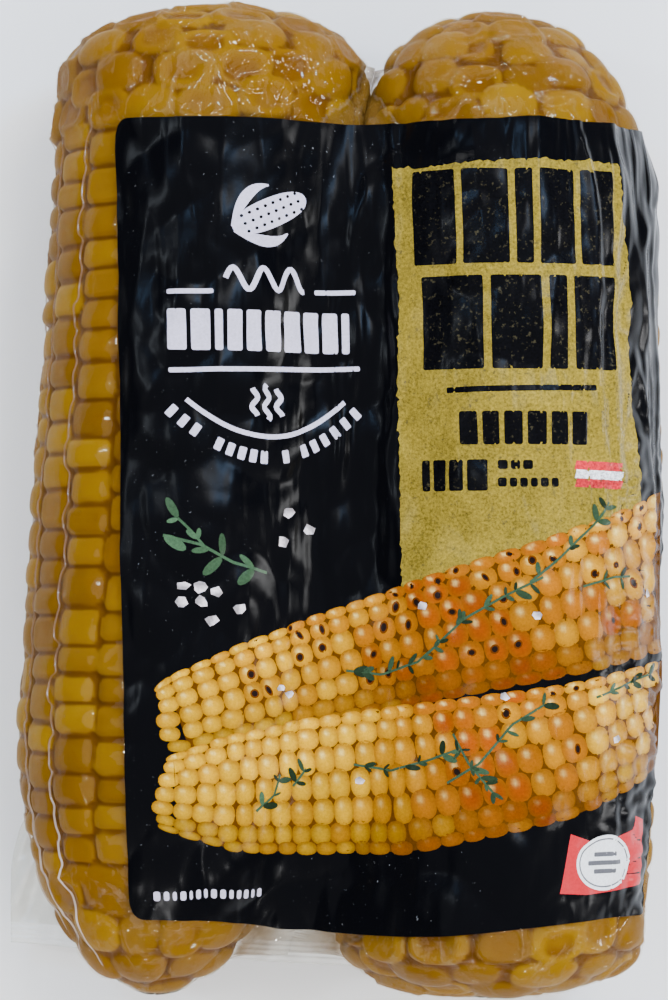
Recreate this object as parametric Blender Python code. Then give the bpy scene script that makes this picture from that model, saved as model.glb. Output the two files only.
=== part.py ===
"""Vacuum pack of two cooked corn cobs, lying on its back with the label up.

Frame: +Y runs along the cobs towards the top of the pack, +X is to the right as the label is read,
+Z is up out of the label. The origin is the middle of the base of the pack's bounding box.

The bag is one solid: two cob lobes with a raised kernel in every cell, a web of film that bridges the
valley between them, and the flat fin of spare film with the seal, which sticks out at the lower left.
The label is a second solid: a thin sheet that follows the crests of both cobs and spans the valley.
"""

import math
from collections import namedtuple

import bmesh
import bpy
from mathutils import Vector

MM = 0.001

# Driving dimensions of the cobs. Each cob has a blunt stalk end and a tapering tip, and the two lie
# head to tail. Axis places are those of the two ends, and the bow is how far the middle stands off
# the straight line between them.
Cob = namedtuple("Cob", "name butt_y tip_y butt_x tip_x bow radius "
                        "butt_round butt_power tip_round tip_power")
LEFT_COB = Cob("left", 79.5 * MM, -79.0 * MM, -18.6 * MM, -28.4 * MM, 0.4 * MM, 25.7 * MM,
               13.0 * MM, 2.3, 48.0 * MM, 2.0)
RIGHT_COB = Cob("right", -79.7 * MM, 78.9 * MM, 24.6 * MM, 25.8 * MM, 2.8 * MM, 25.2 * MM,
                9.0 * MM, 2.3, 50.0 * MM, 2.6)

KERNEL_ROWS = 18
KERNEL_PITCH = 5.3 * MM
KERNEL_RELIEF = 1.1 * MM
FLOOR_FLAT = 1.5 * MM  # how much of a lobe's radius is pressed flat where it lies

# The web of film between the cobs leaves each lobe at this angle from the crest.
FRONT_WEB_ANGLE = math.radians(43)
BACK_WEB_ANGLE = math.radians(50)
WEB_END_ANGLE = math.radians(82)
WEB_TOP_Y = 66.5 * MM
WEB_BOTTOM_Y = -70.0 * MM
WEB_CLOSING = 16.0 * MM  # the length over which the web draws in to its end
WEB_SINK = 1.2 * MM  # the web starts this far under the lobe's crests
WEB_LEAST = 2.4 * MM  # the web's least thickness, where its front and back meet
WEB_STATIONS = 17
WEB_SPAN_POINTS = 9
SPAN_PULL = 1.2  # how strongly a span keeps the direction it leaves a lobe in

# The fin: two sheets of film welded flat, with the bag's straight seal along its lower edge.
FIN_THICKNESS = 0.6 * MM
FIN_LEFT_X = -52.2 * MM
FIN_RIGHT_X = 8.0 * MM
FIN_INNER_Y = -48.0 * MM
FIN_STRAIGHT_Y = -64.0 * MM
FIN_SEAL_LEFT_Y = -71.4 * MM
FIN_SEAL_RIGHT_Y = -75.0 * MM
FIN_SHOULDER = 11.0 * MM  # how far the ear's shoulder draws in from its outer edge
FIN_HEIGHT = 9.0 * MM
FIN_CORNER_HEIGHT = 2.6 * MM
FIN_DROOP_WIDTH = 16.0 * MM
FIN_COLUMNS = 12
FIN_ROWS = 7

# The label: its outline is a rectangle with round corners, bent over both cobs.
LABEL_THICKNESS = 0.4 * MM
LABEL_GAP = 0.4 * MM
LABEL_TOP_Y = 57.5 * MM
LABEL_BOTTOM_Y = -64.7 * MM
LABEL_SAG = 2.6 * MM  # the lower edge hangs this much further down in the valley
LABEL_LEFT_TOP_X = -33.0 * MM
LABEL_LEFT_BOTTOM_X = -31.0 * MM
LABEL_RIGHT_ANGLE = math.radians(71)
LABEL_WEB_ANGLE = math.radians(38)
LABEL_CORNER = 2.6 * MM
LABEL_COLUMNS = 22
LABEL_ROWS = 20
LABEL_CORNER_STEPS = 3
SECTION_STEPS = 60  # fine steps used to space a section's points evenly

CORN_COLOUR = (0.62, 0.33, 0.02, 1.0)
LABEL_COLOUR = (0.012, 0.013, 0.02, 1.0)


def axis_x(cob, y):
    """The cob's axis seen from above: a line between its ends with a slight bow."""
    share = (y - cob.butt_y) / (cob.tip_y - cob.butt_y)
    return cob.butt_x + share * (cob.tip_x - cob.butt_x) + cob.bow * 4 * share * (1 - share)


def axis_z(cob):
    return cob.radius - FLOOR_FLAT


def end_rounding(distance, length, power):
    """The share of the full radius at a distance from an end, along a superellipse of that length."""
    if distance >= length:
        return 1.0
    inward = 1 - max(distance, 0.0) / length
    return (1 - inward**power) ** (1 / power)


def radius_at(cob, y):
    towards_tip = math.copysign(1, cob.tip_y - cob.butt_y)
    from_butt = (y - cob.butt_y) * towards_tip
    from_tip = (cob.tip_y - y) * towards_tip
    return (cob.radius * end_rounding(from_butt, cob.butt_round, cob.butt_power)
            * end_rounding(from_tip, cob.tip_round, cob.tip_power))


def evenly_spaced(points, count):
    """count points at equal distances along a finely stepped path."""
    lengths = [0.0]
    for before, after in zip(points, points[1:]):
        lengths.append(lengths[-1] + (after - before).length)
    spaced, segment = [], 0
    for i in range(count):
        target = lengths[-1] * i / (count - 1)
        while segment < len(points) - 2 and lengths[segment + 1] < target:
            segment += 1
        span = lengths[segment + 1] - lengths[segment]
        share = (target - lengths[segment]) / span if span else 0.0
        spaced.append(points[segment].lerp(points[segment + 1], min(max(share, 0.0), 1.0)))
    return spaced


def meridian(cob):
    """(y, radius) stations from the butt's pole to the tip's pole, one kernel apart on the surface."""
    fine = []
    for i in range(SECTION_STEPS * 8 + 1):
        # The cosine puts more of the fine steps at the steep ends.
        share = (1 - math.cos(math.pi * i / (SECTION_STEPS * 8))) / 2
        y = cob.butt_y + share * (cob.tip_y - cob.butt_y)
        fine.append(Vector((y, radius_at(cob, y))))
    fine[0].y = fine[-1].y = 0.0
    length = sum((b - a).length for a, b in zip(fine, fine[1:]))
    return evenly_spaced(fine, round(length / KERNEL_PITCH) + 1)


def mesh_object(name, bm, colour, roughness):
    """Finishes a bmesh as a named object with a plain material of its own."""
    bmesh.ops.recalc_face_normals(bm, faces=bm.faces)
    mesh = bpy.data.meshes.new(name)
    bm.to_mesh(mesh)
    bm.free()
    mesh.shade_smooth()
    mesh.set_sharp_from_angle(angle=math.radians(50))
    material = bpy.data.materials.new(name)
    material.use_nodes = True
    shader = material.node_tree.nodes["Principled BSDF"]
    shader.inputs["Base Color"].default_value = colour
    shader.inputs["Roughness"].default_value = roughness
    shader.inputs["Metallic"].default_value = 0.0
    mesh.materials.append(material)
    obj = bpy.data.objects.new(name, mesh)
    bpy.context.scene.collection.objects.link(obj)
    return obj


def build_lobe(cob):
    """One cob under its film: a ring of cells for every kernel along it, each with a raised middle."""
    bm = bmesh.new()
    stations = meridian(cob)
    rings = []
    for y, radius in stations[1:-1]:
        ring = []
        for row in range(KERNEL_ROWS):
            turn = 2 * math.pi * row / KERNEL_ROWS
            groove = radius - KERNEL_RELIEF * min(1.0, radius / cob.radius + 0.2)
            ring.append(bm.verts.new((axis_x(cob, y) + groove * math.sin(turn), y,
                                      axis_z(cob) + groove * math.cos(turn))))
        rings.append(ring)
    for before, after in zip(rings, rings[1:]):
        for i in range(KERNEL_ROWS):
            j = (i + 1) % KERNEL_ROWS
            bm.faces.new((before[i], before[j], after[j], after[i]))
    for (y, _), ring in ((stations[0], rings[0]), (stations[-1], rings[-1])):
        pole = bm.verts.new((axis_x(cob, y), y, axis_z(cob)))
        for i in range(KERNEL_ROWS):
            bm.faces.new((pole, ring[i], ring[(i + 1) % KERNEL_ROWS]))
    bmesh.ops.recalc_face_normals(bm, faces=bm.faces)
    raise_kernels(bm, cob)
    for vertex in bm.verts:
        vertex.co.z = max(vertex.co.z, 0.0)
    return mesh_object(cob.name + "_lobe", bm, CORN_COLOUR, 0.2)


def raise_kernels(bm, cob):
    """Gives every cell a middle point that stands out as far as the lobe's true radius."""
    chord_sag = cob.radius * (1 - math.cos(math.pi / KERNEL_ROWS))
    full_cell = 2 * math.pi * cob.radius / KERNEL_ROWS * KERNEL_PITCH
    for face in list(bm.faces):
        height = (KERNEL_RELIEF + chord_sag) * min(1.0, face.calc_area() / full_cell)
        bmesh.ops.poke(bm, faces=[face], offset=height)


def span(start, start_way, end, end_way, count):
    """A free span of film between two lobes: a curve that leaves and meets them at a tangent."""
    pull = (end - start).length * SPAN_PULL
    points = []
    for i in range(count):
        t = i / (count - 1)
        points.append(start * (2 * t**3 - 3 * t**2 + 1) + start_way * pull * (t**3 - 2 * t**2 + t)
                      + end * (3 * t**2 - 2 * t**3) + end_way * pull * (t**3 - t**2))
    return points


def valley_span(y, angle, lift, up, count):
    """The span over the valley at y, as (x, z) points. up is 1 for the front and -1 for the back."""
    ends = []
    for cob, side in ((LEFT_COB, 1), (RIGHT_COB, -1)):
        reach = radius_at(cob, y) + lift
        ends.append(Vector((axis_x(cob, y) + side * reach * math.sin(angle),
                            axis_z(cob) + up * reach * math.cos(angle))))
    down = -up * math.sin(angle)
    leaves = Vector((math.cos(angle), down))
    meets = Vector((math.cos(angle), -down))
    return span(ends[0], leaves, ends[1], meets, count)


def web_angle(y, usual):
    """The web's angle at y. It opens towards the web's ends, where its front and back draw together."""
    from_end = min(WEB_TOP_Y - y, y - WEB_BOTTOM_Y) / WEB_CLOSING
    closing = 1 - min(max(from_end, 0.0), 1.0)
    return usual + (WEB_END_ANGLE - usual) * closing**2 * (3 - 2 * closing)


def build_web():
    """The film and juice between the cobs: a loft whose front and back are free spans."""
    bm = bmesh.new()
    rings = []
    middle = (axis_z(LEFT_COB) + axis_z(RIGHT_COB)) / 2
    for i in range(WEB_STATIONS):
        y = WEB_BOTTOM_Y + (WEB_TOP_Y - WEB_BOTTOM_Y) * i / (WEB_STATIONS - 1)
        front = valley_span(y, web_angle(y, FRONT_WEB_ANGLE), -WEB_SINK, 1, WEB_SPAN_POINTS)
        back = valley_span(y, web_angle(y, BACK_WEB_ANGLE), -WEB_SINK, -1, WEB_SPAN_POINTS)
        for over, under in zip(front, back):
            over.y = max(over.y, middle + WEB_LEAST / 2)
            under.y = min(under.y, middle - WEB_LEAST / 2)
        rings.append([bm.verts.new((p.x, y, p.y)) for p in front + back[::-1]])
    for before, after in zip(rings, rings[1:]):
        for j in range(len(before)):
            k = (j + 1) % len(before)
            bm.faces.new((before[j], before[k], after[k], after[j]))
    bm.faces.new(rings[0])
    bm.faces.new(rings[-1][::-1])
    return mesh_object("web", bm, CORN_COLOUR, 0.2)


def fin_left_x(y):
    """The ear's outer edge: straight up from the seal, then round the shoulder in under the cob."""
    if y <= FIN_STRAIGHT_Y:
        return FIN_LEFT_X
    rise = (y - FIN_STRAIGHT_Y) / (FIN_INNER_Y - FIN_STRAIGHT_Y)
    return FIN_LEFT_X + FIN_SHOULDER * (1 - math.sqrt(1 - rise * rise))


def build_fin():
    """The flat fin of spare film. It leaves the cobs low down and droops towards the ear's corner."""
    bm = bmesh.new()
    grid = []
    for i in range(FIN_ROWS):
        grid.append([])
        for j in range(FIN_COLUMNS):
            across = j / (FIN_COLUMNS - 1)
            seal_y = FIN_SEAL_LEFT_Y + across * (FIN_SEAL_RIGHT_Y - FIN_SEAL_LEFT_Y)
            y = seal_y + (FIN_INNER_Y - seal_y) * i / (FIN_ROWS - 1)
            left_x = fin_left_x(y)
            x = left_x + across * (FIN_RIGHT_X - left_x)
            droop = max(0.0, 1 - (x - FIN_LEFT_X) / FIN_DROOP_WIDTH)
            z = FIN_HEIGHT - (FIN_HEIGHT - FIN_CORNER_HEIGHT) * math.sin(droop * math.pi / 2)
            grid[-1].append(bm.verts.new((x, y, z)))
    for before, after in zip(grid, grid[1:]):
        for j in range(FIN_COLUMNS - 1):
            bm.faces.new((before[j], before[j + 1], after[j + 1], after[j]))
    fin = mesh_object("fin", bm, CORN_COLOUR, 0.2)
    thick = fin.modifiers.new("Film thickness", "SOLIDIFY")
    thick.thickness = FIN_THICKNESS
    thick.offset = 0.0
    return fin


def build_bag():
    """The filled bag: both lobes, the web and the fin joined into one solid."""
    bag = build_lobe(LEFT_COB)
    bag.name = bag.data.name = "bag"
    bag.data.materials[0].name = "clear_film"
    for piece in (build_web(), build_lobe(RIGHT_COB), build_fin()):
        piece.hide_render = True
        piece.display_type = "WIRE"
        joined = bag.modifiers.new("Join " + piece.name, "BOOLEAN")
        joined.operation = "UNION"
        joined.object = piece
    return bag


def label_section(y, lift, count):
    """The label's way across the pack at y: left crest, valley and right crest, evenly spaced."""
    left_reach = radius_at(LEFT_COB, y) + lift
    right_reach = radius_at(RIGHT_COB, y) + lift
    along = (LABEL_TOP_Y - y) / (LABEL_TOP_Y - LABEL_BOTTOM_Y)
    left_x = LABEL_LEFT_TOP_X + along * (LABEL_LEFT_BOTTOM_X - LABEL_LEFT_TOP_X)
    start = math.asin((left_x - axis_x(LEFT_COB, y)) / left_reach)
    path = []
    for cob, reach, begin, end in ((LEFT_COB, left_reach, start, LABEL_WEB_ANGLE),
                                   (RIGHT_COB, right_reach, -LABEL_WEB_ANGLE, LABEL_RIGHT_ANGLE)):
        if path:
            path += valley_span(y, LABEL_WEB_ANGLE, lift, 1, SECTION_STEPS)[1:-1]
        for i in range(SECTION_STEPS + 1):
            turn = begin + (end - begin) * i / SECTION_STEPS
            place = Vector((axis_x(cob, y), axis_z(cob)))
            path.append(place + Vector((math.sin(turn), math.cos(turn))) * reach)
    return evenly_spaced(path, count)


def stations_with_corners(count):
    """Shares from 0 to 1 with extra steps at both ends, where the label's corners are round."""
    corner_share = 0.024
    corner = [corner_share * (1 - math.cos(math.pi / 2 * i / LABEL_CORNER_STEPS))
              for i in range(LABEL_CORNER_STEPS)]
    middle = [corner_share + (1 - 2 * corner_share) * i / count for i in range(count + 1)]
    return corner + middle + [1 - share for share in corner[::-1]]


def build_label():
    """The label as a grid of points on its underside, thickened outwards."""
    bm = bmesh.new()
    columns = stations_with_corners(LABEL_COLUMNS)
    grid = []
    for j, across in enumerate(columns):
        from_side = min(j, len(columns) - 1 - j)
        turn = math.pi / 2 * min(from_side, LABEL_CORNER_STEPS) / LABEL_CORNER_STEPS
        trim = LABEL_CORNER * (1 - math.sin(turn))
        sag = LABEL_SAG * math.sin(math.pi * min(across / 0.8, 1.0)) ** 2
        column = []
        for i in range(LABEL_ROWS + 1):
            low = LABEL_BOTTOM_Y - sag + trim
            y = low + (LABEL_TOP_Y - trim - low) * i / LABEL_ROWS
            section = label_section(y, LABEL_GAP, SECTION_STEPS * 6)
            place = section[round(across * (len(section) - 1))]
            column.append(bm.verts.new((place.x, y, place.y)))
        grid.append(column)
    for before, after in zip(grid, grid[1:]):
        for i in range(LABEL_ROWS):
            bm.faces.new((before[i], after[i], after[i + 1], before[i + 1]))
    label = mesh_object("label", bm, LABEL_COLOUR, 0.25)
    thick = label.modifiers.new("Label thickness", "SOLIDIFY")
    thick.thickness = LABEL_THICKNESS
    thick.offset = 1.0
    return label


def centre_on_origin(objects):
    """Moves the finished pieces so that the middle of the pack's base is the origin."""
    bpy.context.view_layer.update()
    graph = bpy.context.evaluated_depsgraph_get()
    corners = []
    for obj in objects:
        shape = obj.evaluated_get(graph)
        corners += [shape.matrix_world @ vertex.co for vertex in shape.data.vertices]
    low = Vector(min(c[i] for c in corners) for i in range(3))
    high = Vector(max(c[i] for c in corners) for i in range(3))
    shift = Vector((-(low.x + high.x) / 2, -(low.y + high.y) / 2, -low.z))
    for obj in bpy.data.objects:
        obj.location += shift


for old in list(bpy.data.objects):
    bpy.data.objects.remove(old)
centre_on_origin([build_bag(), build_label()])
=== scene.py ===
"""Vacuum pack of two cooked corn cobs, lying on its back with the front label up.

Lengths are in millimetres until a mesh is made. +Y runs along the cobs to the top of the label, +X is
to the right as the label is read, and +Z is up out of the label.
"""

import math
from collections import namedtuple

import bpy
import numpy as np
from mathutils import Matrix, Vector, geometry


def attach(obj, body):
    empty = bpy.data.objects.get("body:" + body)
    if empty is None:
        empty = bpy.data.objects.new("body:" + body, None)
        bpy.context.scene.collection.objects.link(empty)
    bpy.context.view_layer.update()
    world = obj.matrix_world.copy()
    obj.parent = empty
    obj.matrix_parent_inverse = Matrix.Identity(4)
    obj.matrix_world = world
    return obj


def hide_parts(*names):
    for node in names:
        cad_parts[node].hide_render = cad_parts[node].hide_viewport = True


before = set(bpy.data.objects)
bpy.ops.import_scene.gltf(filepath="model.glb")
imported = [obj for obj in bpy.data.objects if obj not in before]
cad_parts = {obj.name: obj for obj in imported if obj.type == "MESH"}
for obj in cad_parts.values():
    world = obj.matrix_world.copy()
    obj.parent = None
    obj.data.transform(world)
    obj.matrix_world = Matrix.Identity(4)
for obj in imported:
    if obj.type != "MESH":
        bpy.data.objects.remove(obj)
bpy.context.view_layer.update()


# ---- Corn cobs -------------------------------------------------------------------------------------
# Two cooked sweetcorn cobs, trimmed at the stalk and laid head to tail. Kernels stand in lengthwise
# rows with a deep crease round each one; near both ends the rows break up into larger, uneven kernels,
# and some of those have sunk in the middle.

Cob = namedtuple("Cob", "name butt_y tip_y butt_x tip_x bow radius butt_round butt_power "
                        "tip_round tip_power row_phase butt_kernel tip_kernel sunken seed")
LEFT = Cob("left", 79.4, -79.0, -19.4, -29.2, 0.4, 25.6, 13.0, 2.3, 48.0, 2.0, math.radians(3),
           (9.4, 6.2), (8.6, 7.4), (0.6, 0.1), 5)
RIGHT = Cob("right", -79.5, 78.7, 23.8, 25.0, 2.8, 25.4, 11.0, 2.2, 46.0, 2.6, math.radians(8),
            (9.6, 6.4), (8.6, 6.2), (0.5, 0.45), 9)

PRESSED_FLAT = 1.5
KERNEL_ROWS = 18
KERNEL_PITCH = 5.2
POLE_KERNEL = 5.2
CREASE_DEPTH = 2.1
STRAIGHT_ROWS = 58.0
LOWEST_KERNEL = 0.15
ROW_SQUARENESS, END_SQUARENESS = 3.9, 2.7
COB_STEPS_ALONG = 322
COB_STEPS_ROUND = 260
ROUND_ANGLES = np.arange(COB_STEPS_ROUND) * 2 * math.pi / COB_STEPS_ROUND

Kernel = namedtuple("Kernel", "row s turn half_long half_wide rise tilt dent tone")


def cob_axis_x(cob, y):
    share = (y - cob.butt_y) / (cob.tip_y - cob.butt_y)
    return cob.butt_x + share * (cob.tip_x - cob.butt_x) + cob.bow * 4 * share * (1 - share)


def cob_axis_z(cob):
    return cob.radius - PRESSED_FLAT


def end_rounding(distance, length, power):
    inward = 1 - np.clip(distance / length, 0, 1)
    return (1 - inward**power) ** (1 / power)


def cob_radius(cob, y):
    towards_tip = math.copysign(1, cob.tip_y - cob.butt_y)
    return (cob.radius * end_rounding((y - cob.butt_y) * towards_tip, cob.butt_round, cob.butt_power)
            * end_rounding((cob.tip_y - y) * towards_tip, cob.tip_round, cob.tip_power))


def cob_meridian(cob, count):
    """Even stations from butt to tip over the cob's envelope: arc length, y, radius and outward normal."""
    share = (1 - np.cos(np.linspace(0, math.pi, 4001))) / 2
    y = cob.butt_y + share * (cob.tip_y - cob.butt_y)
    radius = cob_radius(cob, y)
    arc = np.concatenate([[0], np.cumsum(np.hypot(np.diff(y), np.diff(radius)))])
    s = (np.arange(count) + 0.5) * arc[-1] / count
    y_even = np.interp(s, arc, y)
    radius_even = np.interp(s, arc, radius)
    way = math.copysign(1, cob.tip_y - cob.butt_y)
    along = np.gradient(y_even, s)
    outward = np.gradient(radius_even, s)
    size = np.hypot(along, outward)
    return s, y_even, radius_even, -way * outward / size, way * along / size


def lay_out_kernels(cob):
    """Straight rows along the body of the cob, and uneven rings of larger kernels over both ends."""
    rng = np.random.default_rng(cob.seed)
    s, y, radius, _, _ = cob_meridian(cob, COB_STEPS_ALONG)
    body = np.nonzero(np.abs(y) < STRAIGHT_ROWS)[0]
    start, stop = s[body[0]], s[body[-1]]
    kernels = []
    row_width = 2 * math.pi / KERNEL_ROWS
    for row in range(KERNEL_ROWS):
        place = start + rng.uniform(-0.4, 0.6) * KERNEL_PITCH
        while place < stop:
            pitch = KERNEL_PITCH * rng.uniform(0.78, 1.24)
            middle = place + pitch / 2
            local = np.interp(middle, s, radius)
            kernels.append(Kernel(
                row, middle, cob.row_phase + row * row_width + rng.normal(0, 0.012),
                pitch * 0.56, local * row_width * rng.uniform(0.54, 0.585), rng.normal(-0.1, 0.16),
                (rng.normal(0, 0.14), rng.normal(0.12, 0.1)), 0.5 * (rng.random() < 0.12), rng.random()))
            place += pitch
    ends = ((0.0, start, cob.butt_kernel, cob.sunken[0]),
            (stop, s[-1] + s[0], cob.tip_kernel, cob.sunken[1]))
    for low, high, (wide, long), sunken in ends:
        rings = max(1, round((high - low) / long))
        for ring in range(rings):
            middle = low + (high - low) * (ring + 0.5) / rings
            count = max(3, round(2 * math.pi * np.interp(middle, s, radius) / wide))
            turn = rng.uniform(0, 2 * math.pi)
            for _ in range(count):
                half_wide = math.pi * np.interp(middle, s, radius) / count
                kernels.append(Kernel(
                    -1, middle + rng.normal(0, 0.12 * long), turn + rng.normal(0, 0.22) * math.pi / count,
                    (high - low) / rings * rng.uniform(0.60, 0.74), half_wide * rng.uniform(1.12, 1.36),
                    rng.normal(0.0, 0.28), (rng.normal(0, 0.22), rng.normal(0, 0.22)),
                    rng.uniform(0.8, 1.4) * (rng.random() < sunken + 0.05), rng.random()))
                turn += 2 * math.pi / count
    return kernels


def round_average(grid):
    """Each point's average with its four neighbours, round the cob without a seam and along it."""
    along = np.vstack([grid[:1], grid, grid[-1:]])
    return (along[:-2] + along[2:] + np.roll(grid, 1, axis=1) + np.roll(grid, -1, axis=1)) / 4


def averaged(grid, rounds):
    for _ in range(rounds):
        grid = round_average(grid)
    return grid


def kernel_dome(reach):
    """A kernel's top: level at its middle, where reach is 0, and at full crease depth where it is 1."""
    return -CREASE_DEPTH * (1 - np.sqrt(np.clip(1 - reach**2.7, 0, 1)))


def stamp_kernels(cob, kernels):
    """The height of the kernels over the cob's envelope, with each point's kernel tone, crease depth for the
    painted shade in the creases, and dent.
    """
    s, cob_y, radius, _, _ = cob_meridian(cob, COB_STEPS_ALONG)
    height = np.full((COB_STEPS_ALONG, COB_STEPS_ROUND), -CREASE_DEPTH)
    tone = np.full(height.shape, 0.5)
    dent = np.zeros(height.shape)
    for k in kernels:
        near = np.nonzero(np.abs(s - k.s) < k.half_long * 1.05)[0]
        local = max(np.interp(k.s, s, radius), 1.0)
        swing = (ROUND_ANGLES - k.turn + math.pi) % (2 * math.pi) - math.pi
        beside = np.nonzero(np.abs(swing) * local < k.half_wide * 1.05)[0]
        across = (swing[beside] * local / k.half_wide)[None, :]
        along = ((s[near] - k.s) / k.half_long)[:, None]
        square = ROW_SQUARENESS if k.row >= 0 else END_SQUARENESS
        reach = (np.abs(across) ** square + np.abs(along) ** square) ** (1 / square)
        dome = kernel_dome(reach) + (k.rise + k.tilt[0] * across + k.tilt[1] * along - 0.25)
        hollow = np.exp(-(reach / 0.55) ** 6)
        rim = np.exp(-(((reach - 0.64) / 0.11) ** 2))
        dome = np.where(reach < 1, dome + k.dent * (0.22 * rim - 0.7 * hollow), -9.0)
        window = np.ix_(near, beside)
        wins = dome > height[window]
        height[window] = np.where(wins, dome, height[window])
        tone[window] = np.where(wins, k.tone, tone[window])
        dent[window] = np.where(wins, k.dent * hollow, dent[window])
    for pole in (0.0, s[-1] + s[0]):
        reach = np.abs(s - pole)[:, None] / POLE_KERNEL * (1 + 0.12 * np.cos(2 * ROUND_ANGLES + cob.seed))
        dome = kernel_dome(reach) - 0.1
        wins = (reach < 1) & (dome > height)
        height = np.where(wins, dome, height)
        tone = np.where(wins, 0.45, tone)
        dent = np.where(wins, 0.0, dent)
    # How far each point lies below its smoothed surroundings: the kernel material turns this into painted
    # shade in the creases.
    level = averaged(height, 8)
    wide_level = averaged(level, 22)
    at_end = np.clip((np.abs(cob_y) - 57) / 8, 0, 1)[:, None]
    crease = (level - height) / 0.32 * (1 - at_end) + (wide_level - height) / 0.42 * at_end
    return height, tone, np.clip(crease, 0, 1), dent


def skin_points(cob, height):
    """Points of a skin at a height over the cob's envelope, as (y, radius) grids before they are turned."""
    _, y, radius, normal_y, normal_r = cob_meridian(cob, COB_STEPS_ALONG)
    return y[:, None] + normal_y[:, None] * height, radius[:, None] + normal_r[:, None] * height


def skin_object(name, cob, y, radius, lowest, drop=None):
    """A closed skin round a cob from grids of y and radius. drop marks quads that are left out."""
    x = cob_axis_x(cob, y) + radius * np.sin(ROUND_ANGLES)
    z = np.maximum(cob_axis_z(cob) + radius * np.cos(ROUND_ANGLES), lowest)
    poles = [(float(x[i].mean()), float(y[i].mean() + (y[i].mean() - y[j].mean()) * 0.3), float(z[i].mean()))
             for i, j in ((0, 1), (-1, -2))]
    points = np.stack([x, y, z], axis=-1).reshape(-1, 3)
    rows, cols = y.shape
    i, j = np.meshgrid(np.arange(rows - 1), np.arange(cols), indexing="ij")
    k = (j + 1) % cols
    quads = np.stack([i * cols + j, i * cols + k, (i + 1) * cols + k, (i + 1) * cols + j], axis=-1)
    quads = quads[~drop] if drop is not None else quads.reshape(-1, 4)
    faces = quads.tolist()
    last = (rows - 1) * cols
    for step in range(cols):
        after = (step + 1) % cols
        faces.append((rows * cols, after, step))
        faces.append((rows * cols + 1, last + step, last + after))
    if cob.tip_y > cob.butt_y:
        faces = [face[::-1] for face in faces]
    return mesh_object(name, np.vstack([points, poles]), faces)


def mesh_object(name, points, faces):
    """A smooth-shaded object from points in millimetres."""
    mesh = bpy.data.meshes.new(name)
    mesh.from_pydata((np.asarray(points) * 0.001).tolist(), [], faces)
    mesh.validate()
    mesh.shade_smooth()
    piece = bpy.data.objects.new(name, mesh)
    bpy.context.scene.collection.objects.link(piece)
    return piece


def paint_points(piece, name, values):
    """Stores four numbers for every point, for the piece's material to read."""
    layer = piece.data.attributes.new(name, "FLOAT_COLOR", "POINT")
    layer.data.foreach_set("color", np.asarray(values, dtype=np.float32).reshape(-1))


class Finish:
    """A node material in the making: nodes are added by type, with their inputs as values or links."""

    def __init__(self, name):
        self.material = bpy.data.materials.new(name)
        self.material.use_nodes = True
        self.tree = self.material.node_tree
        self.tree.nodes.clear()

    def add(self, kind, inputs=None, **settings):
        node = self.tree.nodes.new(kind)
        for key, value in settings.items():
            setattr(node, key, value)
        for key, value in (inputs or {}).items():
            if isinstance(value, bpy.types.NodeSocket):
                self.tree.links.new(value, node.inputs[key])
            else:
                node.inputs[key].default_value = value
        return node

    def math(self, operation, first, second=0.0, third=0.0, clamp=False):
        inputs = {0: first, 1: second, 2: third}
        return self.add("ShaderNodeMath", inputs, operation=operation, use_clamp=clamp).outputs[0]

    def blend(self, share, first, second, how="MIX"):
        node = self.add("ShaderNodeMix", {0: share, 6: first, 7: second}, data_type="RGBA", blend_type=how)
        return node.outputs[2]

    def ramp(self, value, *stops, smooth=False):
        node = self.add("ShaderNodeValToRGB", {0: value})
        node.color_ramp.interpolation = "EASE" if smooth else "LINEAR"
        while len(node.color_ramp.elements) < len(stops):
            node.color_ramp.elements.new(0.5)
        for element, (place, colour) in zip(node.color_ramp.elements, stops):
            element.position = place
            element.color = colour if len(colour) == 4 else (*colour, 1)
        return node.outputs[0]

    def noise(self, scale, detail=2.0, rough=0.5, stretch=(1, 1, 1)):
        place = self.add("ShaderNodeTexCoord").outputs["Object"]
        if stretch != (1, 1, 1):
            place = self.add("ShaderNodeMapping", {"Vector": place, "Scale": stretch}).outputs[0]
        return self.add("ShaderNodeTexNoise", {"Vector": place, "Scale": scale, "Detail": detail,
                                               "Roughness": rough}).outputs["Fac"]

    def bump(self, height, distance, strength=1.0, normal=None):
        inputs = {"Height": height, "Distance": distance, "Strength": strength}
        if normal is not None:
            inputs["Normal"] = normal
        return self.add("ShaderNodeBump", inputs).outputs[0]

    def surface(self, shader):
        self.add("ShaderNodeOutputMaterial", {"Surface": shader})
        return self.material


def grey(value):
    return (value, value, value, 1)


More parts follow.
